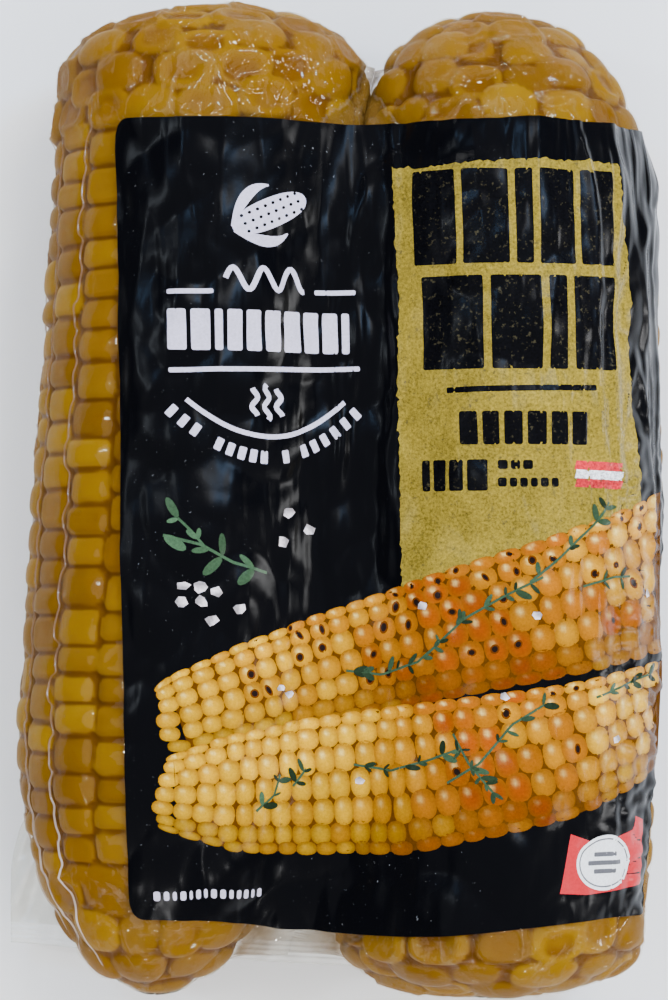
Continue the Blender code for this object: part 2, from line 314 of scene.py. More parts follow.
def cooked_kernels():
    """Wet amber skin, mottled and a little see-through, with painted shade down in the creases, and darker
    in sunken kernels.
    """
    finish = Finish("cooked_kernels")
    painted = finish.add("ShaderNodeAttribute", attribute_name="kernel").outputs["Color"]
    parts = finish.add("ShaderNodeSeparateColor", {0: painted})
    tone, crease, dent = parts.outputs[0], parts.outputs[1], parts.outputs[2]
    mottle = finish.noise(170.0, 4.0, 0.6)
    mixed = finish.math("ADD", finish.math("MULTIPLY", tone, 0.6), finish.math("MULTIPLY", mottle, 0.5))
    skin = finish.ramp(mixed, (0.1, (0.114, 0.047, 0.0)), (0.40, (0.155, 0.072, 0.0)),
                       (0.72, (0.195, 0.097, 0.0)), (1.0, (0.255, 0.137, 0.001)))
    patches = finish.ramp(finish.noise(60.0, 2.0), (0.45, grey(0)), (0.7, grey(1)), smooth=True)
    skin = finish.blend(finish.math("MULTIPLY", patches, 0.4), skin, (0.180, 0.074, 0.0, 1))
    # Painted shade: the skin darkens to a dark brown down in the creases.
    deep = finish.ramp(crease, (0.10, grey(0)), (0.9, grey(1)), smooth=True)
    skin = finish.blend(finish.math("MULTIPLY", deep, 0.85), skin, (0.080, 0.025, 0.0, 1))
    skin = finish.blend(finish.math("MULTIPLY", dent, 0.35, clamp=True), skin, (0.17, 0.070, 0.0, 1))
    uneven = finish.noise(900.0, 3.0, 0.6)
    shader = finish.add("ShaderNodeBsdfPrincipled", {
        "Base Color": skin, "Roughness": 0.42, "Specular IOR Level": 0.02, "Subsurface Weight": 0.2,
        "Subsurface Radius": (1.0, 0.45, 0.08), "Subsurface Scale": 0.0022,
        "Normal": finish.bump(uneven, 0.00012, 0.6)})
    return finish.surface(shader.outputs[0])


kernel_finish = cooked_kernels()
cob_kernels = {}
cob_height = {}
for cob in (LEFT, RIGHT):
    cob_kernels[cob.name] = lay_out_kernels(cob)
    height, tone, crease, dent = stamp_kernels(cob, cob_kernels[cob.name])
    cob_height[cob.name] = height
    y, radius = skin_points(cob, height)
    piece = skin_object(cob.name + "_cob", cob, y, radius, LOWEST_KERNEL)
    # The kernel attribute carries tone, crease depth for the painted crease shade, and dent.
    paint = np.stack([tone, crease, dent, np.ones(tone.shape)], axis=-1).reshape(-1, 4)
    paint_points(piece, "kernel", np.vstack([paint, paint[:1], paint[-1:]]))
    piece.data.materials.append(kernel_finish)
    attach(piece, "root")
    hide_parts("bag")


# ---- Film over the cobs ----------------------------------------------------------------------------
# Clear shrink-tight vacuum film. It is drawn down on every kernel, spans the creases, and bridges the
# valley between the cobs at the front and the back; over the cobs' ends it gathers in fine wrinkles.

FILM_CLEAR = 0.07
FILM_PULL = 0.028
WEB_FRONT = math.radians(43)
WEB_BACK = math.radians(50)
WEB_END = math.radians(76)
WEB_TOP, WEB_BOTTOM = 69.5, -73.0
TOP_CLOSING, BOTTOM_CLOSING = 14.0, 8.5
WEB_BLEND = 0.8
# How far from a cob the web's painted amber reflection and shade reaches.
PAINTED_AMBER_REACH = 3.4
SPAN_STEPS = 14
GATHERED_FROM, GATHERED_OVER = 50, 14
GATHER_WRINKLES = ((9.0, 5.0, 0.20, 0), (4.5, 8.0, 0.14, 50))


def smooth_waves(u, v, seed, long_u, long_v, count=26):
    """Gentle random waves over a surface, about one unit high, with the given typical wavelengths."""
    rng = np.random.default_rng(seed)
    total = np.zeros(np.broadcast(u, v).shape)
    for _ in range(count):
        angle = rng.uniform(0, 2 * math.pi)
        size = rng.uniform(0.6, 1.7)
        total += np.cos(2 * math.pi * size * (u * math.cos(angle) / long_u + v * math.sin(angle) / long_v)
                        + rng.uniform(0, 2 * math.pi))
    return total / math.sqrt(count / 2)


def drawn_film(kernel_height, rounds=90):
    """The film's height: it starts clear of the kernels and is pulled down, but never into them."""
    film = kernel_height.copy()
    for _ in range(4):
        film = np.maximum(film, np.maximum(np.roll(film, 1, axis=1), np.roll(film, -1, axis=1)))
        film[1:-1] = np.maximum(film[1:-1], np.maximum(film[:-2], film[2:]))
    for _ in range(rounds):
        film = np.maximum(kernel_height + FILM_CLEAR, round_average(film) - FILM_PULL)
    return film


def web_profile(y):
    """The valley at y: where its middle stands in x, and the angles where front and back web leave a cob."""
    left_side = cob_axis_x(LEFT, y) + cob_radius(LEFT, y)
    right_side = cob_axis_x(RIGHT, y) - cob_radius(RIGHT, y)
    closing = 1 - np.clip(np.minimum((WEB_TOP - y) / TOP_CLOSING, (y - WEB_BOTTOM) / BOTTOM_CLOSING), 0, 1)
    closing = closing**2 * (3 - 2 * closing)
    front = WEB_FRONT + (WEB_END - WEB_FRONT) * closing
    back = WEB_BACK + (WEB_END - WEB_BACK) * closing
    return (left_side + right_side) / 2, front, back


def smooth_span(first, last, leaving, arriving, t):
    """Points on a smooth curve from first to last that leaves and arrives along the given directions."""
    return (first * (2 * t**3 - 3 * t**2 + 1) + leaving * (t**3 - 2 * t**2 + t)
            + last * (3 * t**2 - 2 * t**3) + arriving * (t**3 - t**2))


def half_span(reach, angle, middle):
    """One cob's half of a free span: it leaves the cob at the angle and is level at the valley's middle."""
    start = np.array([reach * math.sin(angle), reach * math.cos(angle)])
    way = np.array([math.cos(angle), -math.sin(angle)])
    run = max(middle - start[0], 0.2)
    end = np.array([middle, max(start[1] - 0.42 * run * math.tan(min(angle, 1.2)), 0.4)])
    pull = run * 1.1
    level = np.array([1.0, 0.0])
    return smooth_span(start, end, way * pull, level * pull, np.linspace(0, 1, SPAN_STEPS)[:, None])


def web_reach(cob, y):
    """How far the web stands from the cob's axis at every angle, and whether that is the valley's middle."""
    reach = np.zeros((len(y), COB_STEPS_ROUND))
    wall = np.zeros(reach.shape, dtype=bool)
    side = 1 if cob is LEFT else -1
    turned = (side * ROUND_ANGLES) % (2 * math.pi)
    for i, station in enumerate(y):
        if not WEB_BOTTOM < station < WEB_TOP:
            continue
        valley, front, back = web_profile(station)
        middle = side * (valley - cob_axis_x(cob, station))
        radius = cob_radius(cob, station)
        over = half_span(radius, front, middle)
        under = half_span(radius, back, middle) * (1, -1)
        path = np.vstack([over, under[::-1]])
        angle = np.arctan2(path[:, 0], path[:, 1])
        reach[i] = np.interp(turned, angle, np.hypot(path[:, 0], path[:, 1]), left=0, right=0)
        inner = (turned > angle[SPAN_STEPS - 1]) & (turned < angle[SPAN_STEPS])
        reach[i, inner] = middle / np.sin(turned[inner])
        wall[i] = inner
    return reach, wall


def clear_film():
    """Clear film, painted with how gathered it is and how it spans the valley. Near a cob the spanning film
    takes a dark amber tint, a painted reflection of the kernels and painted shade down in the valley; clear
    of a cob it is milky.
    """
    finish = Finish("clear_film")
    parts = finish.add("ShaderNodeSeparateColor", {0: finish.add(
        "ShaderNodeAttribute", attribute_name="film").outputs["Color"]})
    gathered, painted_amber_share, hazy = parts.outputs[0], parts.outputs[1], parts.outputs[2]
    soft = finish.bump(finish.noise(120.0, 3.0, 0.55), 0.0010, 0.5)
    line = ((0.455, grey(0)), (0.50, grey(1)), (0.545, grey(0)))
    long_folds = finish.ramp(finish.noise(95.0, 2.0, 0.5, (1.0, 0.6, 1.0)), *line, smooth=True)
    fine_folds = finish.ramp(finish.noise(210.0, 2.0, 0.5), *line, smooth=True)
    folds = finish.math("MULTIPLY_ADD", fine_folds, 0.5, long_folds)
    normal = finish.bump(finish.math("MULTIPLY", folds, gathered), 0.00032, 1.0, soft)
    gloss = finish.add("ShaderNodeBsdfGlossy", {"Color": (1, 0.985, 0.97, 1), "Roughness": 0.045,
                                                "Normal": normal})
    # Painted reflection and shade: near a cob the web turns dark amber, as if it mirrored the kernels and
    # lay in the valley's shadow.
    painted_amber_tint = finish.math("MULTIPLY", painted_amber_share, 3.0, clamp=True)
    tint = finish.blend(painted_amber_tint, (0.66, 0.62, 0.55, 1), (0.18, 0.092, 0.016, 1))
    haze = finish.add("ShaderNodeBsdfDiffuse", {"Color": tint, "Normal": normal})
    clear = finish.add("ShaderNodeBsdfTransparent", {"Color": (0.985, 0.975, 0.95, 1)})
    edge = finish.add("ShaderNodeLayerWeight", {"Blend": 0.5}).outputs["Facing"]
    veil = finish.math("MULTIPLY_ADD", finish.math("POWER", edge, 5.0), 0.028, 0.001)
    veil = finish.math("MULTIPLY_ADD", finish.math("MULTIPLY", folds, gathered), 0.008, veil)
    veil = finish.math("MULTIPLY_ADD", painted_amber_share, 0.70, veil)
    veil = finish.math("MULTIPLY_ADD", hazy, 0.10, veil)
    body = finish.add("ShaderNodeMixShader", {0: veil, 1: clear.outputs[0], 2: haze.outputs[0]})
    mirror = finish.add("ShaderNodeFresnel", {"IOR": 1.5, "Normal": normal}).outputs[0]
    strong = finish.math("MULTIPLY_ADD", finish.math("MULTIPLY", folds, gathered), 0.014, 0.013)
    mirror = finish.math("MINIMUM", mirror, strong)
    shader = finish.add("ShaderNodeMixShader", {0: mirror, 1: body.outputs[0], 2: gloss.outputs[0]})
    return finish.surface(shader.outputs[0])


film_finish = clear_film()
film_height = {}
for cob in (LEFT, RIGHT):
    s, y_line, _, _, _ = cob_meridian(cob, COB_STEPS_ALONG)
    height = drawn_film(cob_height[cob.name])
    film_height[cob.name] = height.copy()
    round_mm = ROUND_ANGLES[None, :] * cob.radius
    ends = np.clip((np.abs(y_line) - GATHERED_FROM) / GATHERED_OVER, 0, 1)[:, None] + np.zeros(height.shape)
    for long_s, long_round, high, seed in GATHER_WRINKLES:
        folds = np.abs(smooth_waves(s[:, None], round_mm, cob.seed + seed, long_s, long_round))
        height += ends * high * np.exp(-((folds / 0.4) ** 2))
    y, radius = skin_points(cob, height)
    web, wall = web_reach(cob, y_line)
    clear_of_cob = np.maximum(web - radius, 0)
    free = np.clip(clear_of_cob / WEB_BLEND, 0, 1)
    bridged = free > 0
    radius = np.where(bridged, web, radius)
    y = y + (y_line[:, None] - y) * free
    on_wall = wall & bridged
    corner = on_wall[:-1] & on_wall[1:]
    drop = corner & np.roll(corner, -1, axis=1)
    piece = skin_object(cob.name + "_film", cob, y, radius, 0.0, drop)
    # Share of painted amber reflection and shade on the web, strongest where it leaves a cob.
    painted_amber_share = free * np.exp(-clear_of_cob / PAINTED_AMBER_REACH)
    paint = np.stack([ends, painted_amber_share, free - painted_amber_share, np.ones(ends.shape)], axis=-1).reshape(-1, 4)
    paint_points(piece, "film", np.vstack([paint, paint[:1], paint[-1:]]))
    piece.data.materials.append(film_finish)
    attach(piece, "root")
    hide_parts("bag")


# ---- Pinched film creases --------------------------------------------------------------------------
# Where the film has more length than it needs it pinches into thin standing creases, which follow the
# scalloped edges of the kernel rows on the outer side of the left cob.

CREASE_WIDE = 0.30
CREASE_HIGH = 0.26
CREASE_STEP = 0.35
CREASE_TAPER_STEPS = 25
CREASE_PROFILE = ((-0.5, -0.2), (-0.2, 0.75), (0.0, 1.0), (0.2, 0.75), (0.5, -0.2))
CREASED_ROWS = (14, 15, 16)
CREASE_START, CREASE_STOP_SHORT = 36.0, 13.0


def crease_path(cob, row, first, last):
    """A crease along the edge of one kernel row, bulging outwards beside each of the row's kernels."""
    s, _, radius, _, _ = cob_meridian(cob, COB_STEPS_ALONG)
    middles = sorted((k.s, k.half_long, k.turn) for k in cob_kernels[cob.name] if k.row == row)
    places = np.arange(first, last, CREASE_STEP)
    angles = []
    for place in places:
        middle, half_long, turn = min(middles, key=lambda m: abs(m[0] - place))
        bulge = math.sqrt(max(0.0, 1 - min(abs(place - middle) / half_long, 1.0) ** 2))
        local = np.interp(place, s, radius)
        angles.append(turn - math.pi / KERNEL_ROWS - (bulge - 0.65) * 1.5 / local)
    angles = np.array(angles)
    for _ in range(2):
        angles[1:-1] = (angles[:-2] + 2 * angles[1:-1] + angles[2:]) / 4
    return places, angles


def add_crease(points, faces, cob, places, angles):
    """Adds one standing crease that lies on the film and tapers away at both ends."""
    s, y, radius, _, _ = cob_meridian(cob, COB_STEPS_ALONG)
    film = film_height[cob.name]
    count = np.arange(len(places))
    taper = np.clip(np.minimum(count, count[::-1]) / CREASE_TAPER_STEPS, 0, 1)
    first = len(points)
    wide = len(CREASE_PROFILE)
    for place, angle, share in zip(places, angles, taper):
        level = np.interp(place, s, radius)
        column = int(round(angle / (2 * math.pi) * COB_STEPS_ROUND)) % COB_STEPS_ROUND
        lift = np.interp(place, s, film[:, column])
        at_y = np.interp(place, s, y)
        for across, up in CREASE_PROFILE:
            reach = level + lift + up * CREASE_HIGH * share
            turn = angle + across * CREASE_WIDE / level
            points.append((cob_axis_x(cob, at_y) + reach * math.sin(turn), at_y,
                           cob_axis_z(cob) + reach * math.cos(turn)))
    for i in range(len(places) - 1):
        for j in range(wide - 1):
            a = first + i * wide + j
            faces.append((a, a + 1, a + 1 + wide, a + wide))


def pinched_film():
    """Clear film seen edge on: faint along the cob, and whiter towards the lower end, where the pale tint is
    a painted highlight of the creases.
    """
    finish = Finish("pinched_film")
    streak = finish.noise(300.0, 2.0)
    place = finish.add("ShaderNodeTexCoord").outputs["Object"]
    y = finish.add("ShaderNodeSeparateXYZ", {0: place}).outputs[1]
    # Painted highlight: the creases' tint and cover grow pale towards the lower end.
    low = finish.add("ShaderNodeMapRange", {0: y, 1: -0.035, 2: -0.060, 3: 0.0, 4: 1.0}).outputs[0]
    tint = finish.blend(low, (0.27, 0.150, 0.085, 1), (0.62, 0.50, 0.42, 1))
    body = finish.add("ShaderNodeBsdfPrincipled", {"Base Color": tint, "Roughness": 0.18})
    clear = finish.add("ShaderNodeBsdfTransparent", {"Color": (1, 0.96, 0.9, 1)})
    share = finish.math("MULTIPLY_ADD", streak, 0.5, 0.12, clamp=True)
    share = finish.math("MULTIPLY_ADD", low, 0.25, share, clamp=True)
    shader = finish.add("ShaderNodeMixShader", {0: share, 1: clear.outputs[0], 2: body.outputs[0]})
    return finish.surface(shader.outputs[0])


points, faces = [], []
cob_length = cob_meridian(LEFT, COB_STEPS_ALONG)[0][-1]
for row in CREASED_ROWS:
    places, angles = crease_path(LEFT, row, CREASE_START, cob_length - CREASE_STOP_SHORT)
    add_crease(points, faces, LEFT, places, angles)
piece = mesh_object("film_creases", points, faces)
piece.data.materials.append(pinched_film())
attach(piece, "root")
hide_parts("bag")


# ---- Sealed fin ------------------------------------------------------------------------------------
# The spare length of the bag below the cobs: two sheets pressed flat, welded along a straight ribbed
# band. One corner stands out past the left cob as an ear, and the rest runs under and between the cobs.

FIN_LEFT, FIN_RIGHT = -54.0, 7.0
FIN_INNER, FIN_STRAIGHT = -48.0, -62.0
FIN_SEAL_LEFT, FIN_SEAL_RIGHT = -72.6, -76.0
FIN_SHOULDER = 8.0
FIN_LEVEL, FIN_DROOP, DROOP_OVER = 15.0, 6.5, 16.0
FIN_THICK = 0.22
FIN_COLUMNS, FIN_ROWS = 190, 100
SEAL_BAND, SEAL_RIB = 3.4, 0.85
RIPPLE = 0.10


def fin_grid(columns, rows):
    """The fin's points: level under the cobs, drooping at the ear, fanned folds, and ribs along the weld."""
    across = np.linspace(0, 1, columns)[None, :]
    up = np.linspace(0, 1, rows)[:, None]
    seal = FIN_SEAL_LEFT + across * (FIN_SEAL_RIGHT - FIN_SEAL_LEFT)
    y = seal + (FIN_INNER - seal) * up
    rise = np.clip((y - FIN_STRAIGHT) / (FIN_INNER - FIN_STRAIGHT), 0, 1)
    left = FIN_LEFT + FIN_SHOULDER * (1 - np.sqrt(1 - rise**2))
    x = left + across * (FIN_RIGHT - left)
    droop = np.clip(1 - (x - FIN_LEFT) / DROOP_OVER, 0, 1)
    z = FIN_LEVEL - FIN_DROOP * np.sin(droop * math.pi / 2)
    fan = np.arctan2(x + 44.0, y + 40.0)
    loose = np.clip((y - seal - SEAL_BAND) / 4.0, 0, 1)
    fanned = smooth_waves(fan * 9.0, y * 0.12, 4, 2.0, 3.0)
    z = z + loose * (0.45 * fanned + 0.3 * smooth_waves(x, y, 6, 9, 14))
    z = z + (1 - loose) * RIPPLE * smooth_waves(x, y, 8, 5.0, 9.0)
    band = np.clip(1 - np.abs(y - seal - SEAL_BAND / 2) / (SEAL_BAND / 2), 0, 1) > 0.02
    z = z + np.where(band, RIPPLE * np.cos((y - seal) * 2 * math.pi / SEAL_RIB), 0)
    return np.stack([x, y, np.maximum(z, 0.3)], axis=-1), band


def grid_faces(rows, cols):
    i, j = np.meshgrid(np.arange(rows - 1), np.arange(cols - 1), indexing="ij")
    corner = i * cols + j
    return np.stack([corner, corner + 1, corner + cols + 1, corner + cols], axis=-1).reshape(-1, 4).tolist()


def welded_film():
    """Two sheets of milky film, whiter and denser where they are welded together."""
    finish = Finish("welded_film")
    weld = finish.add("ShaderNodeAttribute", attribute_name="weld").outputs["Fac"]
    streak = finish.noise(90.0, 4.0, 0.6, (1.0, 0.35, 1.0))
    tint = finish.blend(weld, (0.80, 0.79, 0.74, 1), (0.92, 0.92, 0.90, 1))
    normal = finish.bump(finish.noise(240.0, 3.0), 0.0006, 0.6)
    body = finish.add("ShaderNodeBsdfPrincipled", {"Base Color": tint, "Roughness": 0.16,
                                                   "Specular IOR Level": 0.7, "Normal": normal})
    clear = finish.add("ShaderNodeBsdfTransparent", {"Color": (0.94, 0.95, 0.93, 1)})
    share = finish.math("MULTIPLY_ADD", streak, 0.5, 0.35)
    share = finish.math("MULTIPLY_ADD", weld, 0.2, share, clamp=True)
    shader = finish.add("ShaderNodeMixShader", {0: share, 1: clear.outputs[0], 2: body.outputs[0]})
    return finish.surface(shader.outputs[0])


fin_points, fin_band = fin_grid(FIN_COLUMNS, FIN_ROWS)
piece = mesh_object("sealed_fin", fin_points.reshape(-1, 3), grid_faces(FIN_ROWS, FIN_COLUMNS))
weld = np.repeat(fin_band.reshape(-1, 1).astype(np.float32), 4, axis=1)
paint_points(piece, "weld", weld)
thick = piece.modifiers.new("Two sheets", "SOLIDIFY")
thick.thickness = FIN_THICK * 0.001
piece.data.materials.append(welded_film())
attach(piece, "root")
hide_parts("bag")


# ---- Front label -----------------------------------------------------------------------------------
# A printed film label with round corners, stuck over both cobs and the valley and wrapped round the
# right-hand side. It is black with chalky specks, and it creases wherever the film under it moves.

LABEL_WIDE = 94.5
LABEL_TOP = 58.0
LABEL_BOTTOM = -65.0
LABEL_SAG = 2.8
LABEL_CORNER = 2.4
LABEL_LIFT = 0.32
LABEL_ACROSS = 237
LABEL_UP = 271


def label_row(y):
    """The label's path across the pack at y as (x, z) points, with its length and the cob angle below it."""
    left_x = -33.9 + (LABEL_TOP - y) / (LABEL_TOP - LABEL_BOTTOM) * 2.0
    reach = [float(cob_radius(cob, y)) for cob in (LEFT, RIGHT)]
    axis = [float(cob_axis_x(cob, y)) for cob in (LEFT, RIGHT)]
    high = [cob_axis_z(cob) for cob in (LEFT, RIGHT)]
    leave = math.radians(37)
    start = math.asin(max(-1, min(1, (left_x - axis[0]) / reach[0])))
    turns = np.linspace(start, leave, 90)
    over_left = np.stack([axis[0] + reach[0] * np.sin(turns), high[0] + reach[0] * np.cos(turns)], axis=-1)
    back_turns = np.linspace(-leave, math.radians(125), 170)
    over_right = np.stack([axis[1] + reach[1] * np.sin(back_turns), high[1] + reach[1] * np.cos(back_turns)],
                          axis=-1)
    first, last = over_left[-1], over_right[0]
    t = np.linspace(0, 1, 60)[1:-1, None]
    pull = np.linalg.norm(last - first) * 1.15
    leaving, arriving = (pull * np.array([math.cos(leave), side * math.sin(leave)]) for side in (-1, 1))
    span = smooth_span(first, last, leaving, arriving, t)
    path = np.vstack([over_left, span, over_right])
    length = np.concatenate([[0], np.cumsum(np.hypot(*np.diff(path, axis=0).T))])
    cob_turn = np.concatenate([turns, np.full(len(span), np.nan), back_turns])
    return path, length, cob_turn


def label_surface():
    """The label's middle surface on an even grid of (u, y): u runs from its left edge along the sheet."""
    u = np.linspace(0, LABEL_WIDE, LABEL_ACROSS)
    y = np.linspace(LABEL_BOTTOM - LABEL_SAG, LABEL_TOP, LABEL_UP)
    points = np.zeros((LABEL_UP, LABEL_ACROSS, 3))
    lumps = np.zeros((LABEL_UP, LABEL_ACROSS))
    soft = {cob.name: averaged(film_height[cob.name], 10) for cob in (LEFT, RIGHT)}
    stations = {cob.name: cob_meridian(cob, COB_STEPS_ALONG)[1] for cob in (LEFT, RIGHT)}
    for i, level in enumerate(y):
        path, length, cob_turn = label_row(level)
        points[i, :, 0] = np.interp(u, length, path[:, 0])
        points[i, :, 1] = level
        points[i, :, 2] = np.interp(u, length, path[:, 1])
        turn = np.interp(u, length, np.nan_to_num(cob_turn, nan=9.0))
        for cob in (LEFT, RIGHT):
            here = (points[i, :, 0] < 2) == (cob is LEFT)
            row = int(np.argmin(np.abs(stations[cob.name] - level)))
            column = (turn / (2 * math.pi) * COB_STEPS_ROUND).astype(int) % COB_STEPS_ROUND
            lumps[i] = np.where(here & (np.abs(turn) < 2.4), soft[cob.name][row, column], lumps[i])
    for _ in range(12):
        padded = np.pad(lumps, 1, mode="edge")
        lumps = (padded[:-2, 1:-1] + padded[2:, 1:-1] + padded[1:-1, :-2] + padded[1:-1, 2:]) / 4
    return u, y, points, lumps


def label_creases(u, y):
    """Soft waves all over, long folds in the valley and down the right cob, and a crumpled right side."""
    u, y = np.meshgrid(u, y)
    total = 0.10 * smooth_waves(u, y, 21, 9.0, 20.0) + 0.02 * smooth_waves(u, y, 22, 4.0, 6.0)
    total += 0.34 * np.sqrt(smooth_waves(u, y, 26, 26.0, 30.0) ** 2 + 0.01)
    total += 0.16 * np.sqrt(smooth_waves(u, y, 27, 14.0, 17.0) ** 2 + 0.01)
    right = np.clip((u - 60) / 30, 0, 1)
    folds = np.abs(smooth_waves(u, y * 0.18, 23, 6.0, 9.0))
    total += (0.18 + 0.40 * right) * np.clip(0.5 - folds, 0, 1) * np.clip((y + 70) / 60, 0.4, 1)
    lower = np.clip((u - 74) / 14, 0, 1) * np.clip((25 - y) / 30, 0, 1)
    total += lower * 0.22 * np.abs(smooth_waves(u, y, 24, 7.0, 5.0))
    for place, drift, high, deep, wide in ((41.0, -0.09, 55, 0.55, 1.3), (36.0, -0.02, 40, 0.35, 1.0),
                                           (46.5, -0.05, 57, 0.45, 1.1), (77.0, 0.03, 58, 0.4, 0.8),
                                           (82.5, -0.02, 58, 0.45, 0.9), (88.0, 0.02, 50, 0.5, 1.0)):
        middle = place + drift * (58 - y) + 0.7 * smooth_waves(y * 0.0 + place, y, 25, 9.0, 34.0, 12)
        fade = np.clip((high - y) / 10, 0, 1) if high < 57 else 1.0
        total += deep * np.exp(-((u - middle) / wide) ** 2) * fade * np.clip((y + 30) / 40, 0.25, 1)
    return total


def sheet_normals(points):
    normals = np.cross(np.gradient(points, axis=1), np.gradient(points, axis=0))
    return normals / np.linalg.norm(normals, axis=-1, keepdims=True)


def label_lower_edge(u):
    return LABEL_BOTTOM - LABEL_SAG * np.sin(math.pi * np.clip(u / 82.0, 0, 1)) ** 2


def label_right_edge(y):
    """The right edge runs in a little over the lower half, where the sheet was stuck on slightly askew."""
    return np.interp(y, (-62, -47, -20, 0), (88.6, 90.4, 92.6, LABEL_WIDE))


def corner_trim(u):
    """How far the label's upper and lower edges are cut back at u by its round corners."""
    into = np.clip(np.minimum(u, LABEL_WIDE - u), 0, LABEL_CORNER)
    return LABEL_CORNER - np.sqrt(LABEL_CORNER**2 - (LABEL_CORNER - into) ** 2)


label_u, label_y, label_points, label_lumps = label_surface()
label_normals = sheet_normals(label_points)
label_rise = LABEL_LIFT + 0.5 * (label_lumps + 0.35) + label_creases(label_u, label_y)
label_points = label_points + label_normals * np.maximum(label_rise, 0.15)[..., None]
label_normals = sheet_normals(label_points)


def on_label(u, y, lift=0.0):
    """Points on the creased label at (u, y), by straight interpolation of its grid."""
    column = np.clip(np.asarray(u) / LABEL_WIDE * (LABEL_ACROSS - 1), 0, LABEL_ACROSS - 1.001)
    share_up = (np.asarray(y) - label_y[0]) / (label_y[-1] - label_y[0])
    row = np.clip(share_up * (LABEL_UP - 1), 0, LABEL_UP - 1.001)
    j, i = column.astype(int), row.astype(int)
    a, b = (column - j)[..., None], (row - i)[..., None]

    def between(grid):
        return ((grid[i, j] * (1 - a) + grid[i, j + 1] * a) * (1 - b)
                + (grid[i + 1, j] * (1 - a) + grid[i + 1, j + 1] * a) * b)
    return between(label_points) + between(label_normals) * lift


def label_gloss(finish):
    """The label's gloss: slight where it faces the eye, and strong where it turns away."""
    edge = finish.add("ShaderNodeLayerWeight", {"Blend": 0.5}).outputs["Facing"]
    gloss = finish.math("MULTIPLY_ADD", finish.math("POWER", edge, 2.0), 1.1, 0.03)
    return finish.math("MINIMUM", gloss, 0.30)


def black_label():
    finish = Finish("black_label")
    sprinkle = finish.ramp(finish.noise(30.0, 3.0), (0.46, grey(0)), (0.62, grey(1)))
    dots = finish.ramp(finish.noise(1500.0, 2.0, 0.7), (0.70, grey(0)), (0.76, grey(1)))
    chalk = finish.math("MULTIPLY", sprinkle, dots)
    black, chalky = (0.0010, 0.0011, 0.0018, 1), (0.30, 0.31, 0.33, 1)
    ink = finish.blend(finish.math("MULTIPLY", chalk, 0.5), black, chalky)
    normal = finish.bump(finish.noise(260.0, 3.0, 0.6), 0.00008, 0.5)
    shader = finish.add("ShaderNodeBsdfPrincipled", {
        "Base Color": ink, "Roughness": finish.math("MULTIPLY_ADD", sprinkle, 0.06, 0.22),
        "Specular IOR Level": label_gloss(finish), "Normal": normal})
    return finish.surface(shader.outputs[0])


share = np.linspace(0, 1, LABEL_UP)[:, None]
u_grid = label_u / LABEL_WIDE * label_right_edge(LABEL_BOTTOM + (LABEL_TOP - LABEL_BOTTOM) * share)
low_edge = label_lower_edge(u_grid) + corner_trim(label_u)
high_edge = (LABEL_TOP - corner_trim(label_u))[None, :]
sheet = on_label(u_grid, low_edge + (high_edge - low_edge) * share)
piece = mesh_object("front_label", sheet.reshape(-1, 3), grid_faces(LABEL_UP, LABEL_ACROSS))
piece.data.materials.append(black_label())
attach(piece, "root")
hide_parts("label")


# ---- Printed panel and emblem ----------------------------------------------------------------------
# The label's flat print: a rough-edged gold panel with bold dark blocks and bars, and a pale emblem on
# the black. Each field of ink is a thin layer that lies on the creased label.

INK_LIFT = 0.03
INK_STEP = 0.014
GOLD = (0.218, 0.155, 0.018)
BLACK_INK = (0.0015, 0.0015, 0.0022)
PALE_INK = (0.55, 0.51, 0.62)
RED_INK = (0.50, 0.022, 0.030)
WHITE_INK = (0.80, 0.80, 0.80)


class InkLayer:
    """Gathers printed shapes, outlined in label places (u, y), into one mesh that follows the label."""

    def __init__(self):
        self.places, self.faces, self.colours, self.lifts = [], [], [], []

    def fill(self, outline, colour, level):
        outline = np.asarray(outline, dtype=float)
        low, high = outline.min(axis=0), outline.max(axis=0)
        columns = label_u[(label_u > low[0]) & (label_u < high[0])]
        rows = label_y[(label_y > low[1]) & (label_y < high[1])]
        inner = np.stack(np.meshgrid(columns, rows), axis=-1).reshape(-1, 2)
        if len(inner):
            inner = inner[well_inside(inner, outline, 0.10)]
        places = np.vstack([outline, inner])
        edges = [(i, (i + 1) % len(outline)) for i in range(len(outline))]
        made = geometry.delaunay_2d_cdt([Vector(p) for p in places], edges, [], 1, 1e-4)
        places = np.array([tuple(v) for v in made[0]])
        first = len(self.places)
        self.places += places.tolist()
        self.faces += [[first + i for i in face] for face in made[2]]
        self.lifts += [INK_LIFT + INK_STEP * level] * len(places)
        shades = colour(places) if callable(colour) else np.tile(colour, (len(places), 1))
        self.colours += np.asarray(shades).tolist()

    def piece(self, name, material):
        places = np.array(self.places)
        points = on_label(places[:, 0], places[:, 1], np.array(self.lifts)[:, None])
        piece = mesh_object(name, points, self.faces)
        paint_points(piece, "ink", np.hstack([np.array(self.colours), np.ones((len(points), 1))]))
        piece.data.materials.append(material)
        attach(piece, "root")
        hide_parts("label")


def well_inside(places, outline, margin):
    """Which places are inside an outline and at least a margin from it."""
    inside = np.zeros(len(places), dtype=bool)
    nearest = np.full(len(places), 9.0)
    for (x0, y0), (x1, y1) in zip(outline, np.roll(outline, -1, axis=0)):
        crosses = (y0 > places[:, 1]) != (y1 > places[:, 1])
        run = (x1 - x0) * (places[:, 1] - y0) / ((y1 - y0) or 1e-9) + x0
        inside ^= crosses & (places[:, 0] < run)
        way = np.array([x1 - x0, y1 - y0])
        share = np.clip((places - (x0, y0)) @ way / max(way @ way, 1e-12), 0, 1)
        nearest = np.minimum(nearest, np.hypot(*(places - (x0, y0) - share[:, None] * way).T))
    return inside & (nearest > margin)


